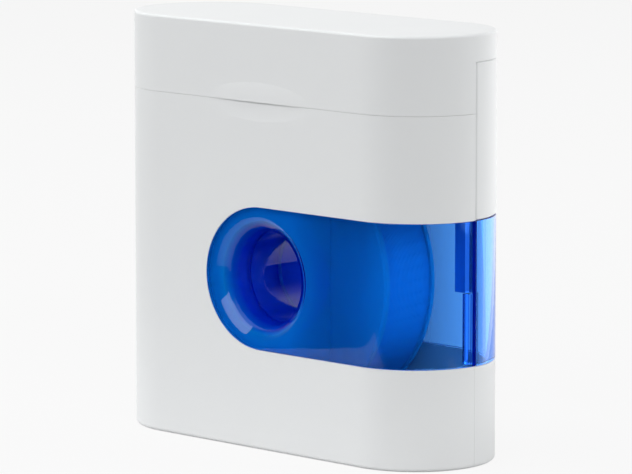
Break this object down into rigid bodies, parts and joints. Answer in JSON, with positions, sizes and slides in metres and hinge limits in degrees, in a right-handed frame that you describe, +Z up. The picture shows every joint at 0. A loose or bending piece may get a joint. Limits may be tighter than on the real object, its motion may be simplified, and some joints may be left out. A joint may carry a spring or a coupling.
{
  "type": "dental floss dispenser",
  "caption": "Upright pocket floss dispenser: white case with rounded ends, clear blue windows round a finger hole, a floss spool inside and a flip lid over a steel cutter.",
  "frame": {"origin": "middle of the base, in the plane where the two case halves meet", "axes": "+Z up, front face with the thumb lip towards -Y, +X towards the end that the blue windows wrap"},
  "size_m": [0.0578, 0.0213, 0.056],
  "materials": {
    "white_case": "satin white moulded polypropylene",
    "white_film": "thin white film hinge, slightly matt",
    "clear_blue": "clear deep blue polystyrene, glossy",
    "spool_plastic": "pale translucent moulded plastic",
    "floss": "waxed white multifilament floss",
    "cutter_steel": "bright stamped stainless sheet"
  },
  "bodies": {
    "case": {"front_shell": "white_case", "rear_shell": "white_case", "front_window": "clear_blue", "rear_window": "clear_blue", "cutter_deck": "white_case", "floss_cutter": "cutter_steel", "floss_lead": "floss", "lid_hinge_film": "white_film"},
    "lid": {"flip_lid": "white_case"},
    "reel": {"spool": "spool_plastic", "floss_pack": "floss", "floss_outer_turns": "floss"}
  },
  "joints": [
    {"name": "lid_hinge", "type": "hinge", "parent": "case", "child": "lid", "pos_m": [0, 0.01045, 0.0524], "axis": [-1, 0, 0], "range_deg": [0, 140], "deforming": ["lid_hinge_film"]},
    {"name": "reel_spin", "type": "hinge", "parent": "case", "child": "reel", "pos_m": [0.0006, 0, 0.02265], "axis": [0, 1, 0], "continuous": true}
  ]
}
